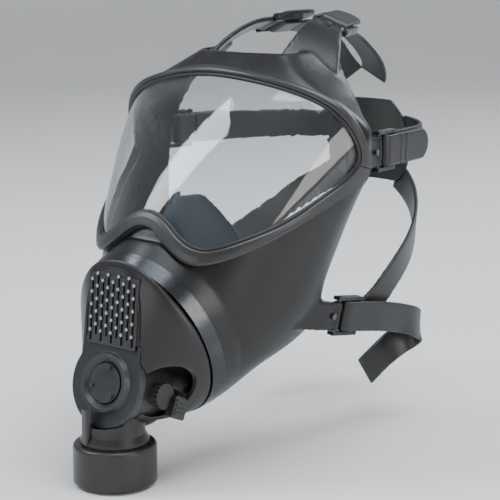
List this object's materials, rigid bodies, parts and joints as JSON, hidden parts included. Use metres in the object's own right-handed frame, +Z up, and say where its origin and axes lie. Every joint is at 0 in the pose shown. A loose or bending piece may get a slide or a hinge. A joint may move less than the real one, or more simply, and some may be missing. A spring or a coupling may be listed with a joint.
{
  "type": "full face respirator",
  "caption": "Full face respirator: wide curved visor on a rubber facepiece, speech grille and valve unit with hose coupling, inner mask and buckled rubber head harness.",
  "frame": {"origin": "midway between the wearer's ear canals", "axes": "-Y is the wearer's forward direction, +Y points to the back of the head, +X is the wearer's left, +Z is up"},
  "size_m": [0.1852, 0.2966, 0.265],
  "materials": {
    "clear_visor": "clear polycarbonate, lightly scratched",
    "frame_plastic": "satin black moulded plastic",
    "mask_rubber": "semi-gloss black rubber",
    "strap_rubber": "satin black rubber",
    "buckle_metal": "black lacquered steel",
    "dark_steel": "blackened steel",
    "band_steel": "dark bright-worn steel",
    "soft_rubber": "matt soft silicone rubber",
    "diaphragm_film": "thin film",
    "housing_plastic": "grained black plastic"
  },
  "bodies": {
    "root": {"back_pad": "strap_rubber", "buckle_pins": "dark_steel", "clamp_band": "band_steel", "clamp_nut": "dark_steel", "clamp_screw": "dark_steel", "cover_latch_left": "housing_plastic", "cover_latch_right": "housing_plastic", "diaphragm_ring": "housing_plastic", "exhale_seat": "housing_plastic", "facepiece": "mask_rubber", "frame_screws": "dark_steel", "front_cover": "housing_plastic", "hose_gasket": "soft_rubber", "housing_base": "housing_plastic", "inhale_seat": "housing_plastic", "inner_flaps": "soft_rubber", "inner_mask": "soft_rubber", "inner_seats": "housing_plastic", "lock_finger": "housing_plastic", "side_port_cap_left": "housing_plastic", "side_port_cap_right": "housing_plastic", "side_port_left": "housing_plastic", "side_port_right": "housing_plastic", "speech_diaphragm": "diaphragm_film", "speech_grille": "housing_plastic", "strap_neck_left": "strap_rubber", "strap_neck_right": "strap_rubber", "strap_temple_left": "strap_rubber", "strap_temple_right": "strap_rubber", "strap_top_left": "strap_rubber", "strap_top_right": "strap_rubber", "tab_studs": "dark_steel", "valve_body": "housing_plastic", "valve_cover_plate": "housing_plastic", "visor": "clear_visor", "visor_frame_lower": "frame_plastic", "visor_frame_upper": "frame_plastic", "visor_seal": "soft_rubber"},
    "buckle_top_left": {"buckle_frame_top_left": "buckle_metal", "buckle_bar_top_left": "dark_steel", "strap_tail_top_left": "strap_rubber"},
    "buckle_top_right": {"buckle_frame_top_right": "buckle_metal", "buckle_bar_top_right": "dark_steel", "strap_tail_top_right": "strap_rubber"},
    "buckle_temple_left": {"buckle_frame_temple_left": "buckle_metal", "buckle_bar_temple_left": "dark_steel", "strap_tail_temple_left": "strap_rubber"},
    "buckle_temple_right": {"buckle_frame_temple_right": "buckle_metal", "buckle_bar_temple_right": "dark_steel", "strap_tail_temple_right": "strap_rubber"},
    "buckle_neck_left": {"buckle_frame_neck_left": "buckle_metal", "buckle_bar_neck_left": "dark_steel", "strap_tail_neck_left": "strap_rubber"},
    "buckle_neck_right": {"buckle_frame_neck_right": "buckle_metal", "buckle_bar_neck_right": "dark_steel", "strap_tail_neck_right": "strap_rubber"},
    "nut": {"hose_nut": "housing_plastic"},
    "cap": {"valve_cap": "housing_plastic"},
    "exhale": {"exhale_flap": "soft_rubber"},
    "inhale": {"inhale_flap": "soft_rubber"}
  },
  "joints": [
    {"name": "tilt_top_left", "type": "hinge", "parent": "root", "child": "buckle_top_left", "pos_m": [0.0245, 0.011, 0.1264], "axis": [0.8895, 0.2622, -0.3743], "range_deg": [0, 30]},
    {"name": "tilt_top_right", "type": "hinge", "parent": "root", "child": "buckle_top_right", "pos_m": [-0.0245, 0.011, 0.1264], "axis": [0.8895, -0.2622, 0.3743], "range_deg": [0, 30]},
    {"name": "tilt_temple_left", "type": "hinge", "parent": "root", "child": "buckle_temple_left", "pos_m": [0.083, -0.022, 0.0555], "axis": [0.002, -0.0198, -0.9998], "range_deg": [0, 30]},
    {"name": "tilt_temple_right", "type": "hinge", "parent": "root", "child": "buckle_temple_right", "pos_m": [-0.083, -0.022, 0.0555], "axis": [0.002, 0.0198, 0.9998], "range_deg": [0, 30]},
    {"name": "tilt_neck_left", "type": "hinge", "parent": "root", "child": "buckle_neck_left", "pos_m": [0.0652, -0.038, -0.046], "axis": [-0.1173, -0.1381, -0.9834], "range_deg": [0, 30]},
    {"name": "tilt_neck_right", "type": "hinge", "parent": "root", "child": "buckle_neck_right", "pos_m": [-0.0652, -0.038, -0.046], "axis": [-0.1173, 0.1381, 0.9834], "range_deg": [0, 30]},
    {"name": "nut_spin", "type": "hinge", "parent": "root", "child": "nut", "pos_m": [0, -0.169, -0.13], "axis": [0, 0, 1], "continuous": true},
    {"name": "cap_turn", "type": "hinge", "parent": "root", "child": "cap", "pos_m": [0, -0.176, -0.069], "axis": [0, -0.9659, 0.2588], "range_deg": [0, 60]},
    {"name": "exhale_lift", "type": "slide", "parent": "root", "child": "exhale", "axis": [0, -0.9659, 0.2588], "range_m": [0, 0.002], "stiffness_N_per_m": 60},
    {"name": "inhale_lift", "type": "slide", "parent": "root", "child": "inhale", "axis": [0, 0, 1], "range_m": [0, 0.002], "stiffness_N_per_m": 60}
  ]
}
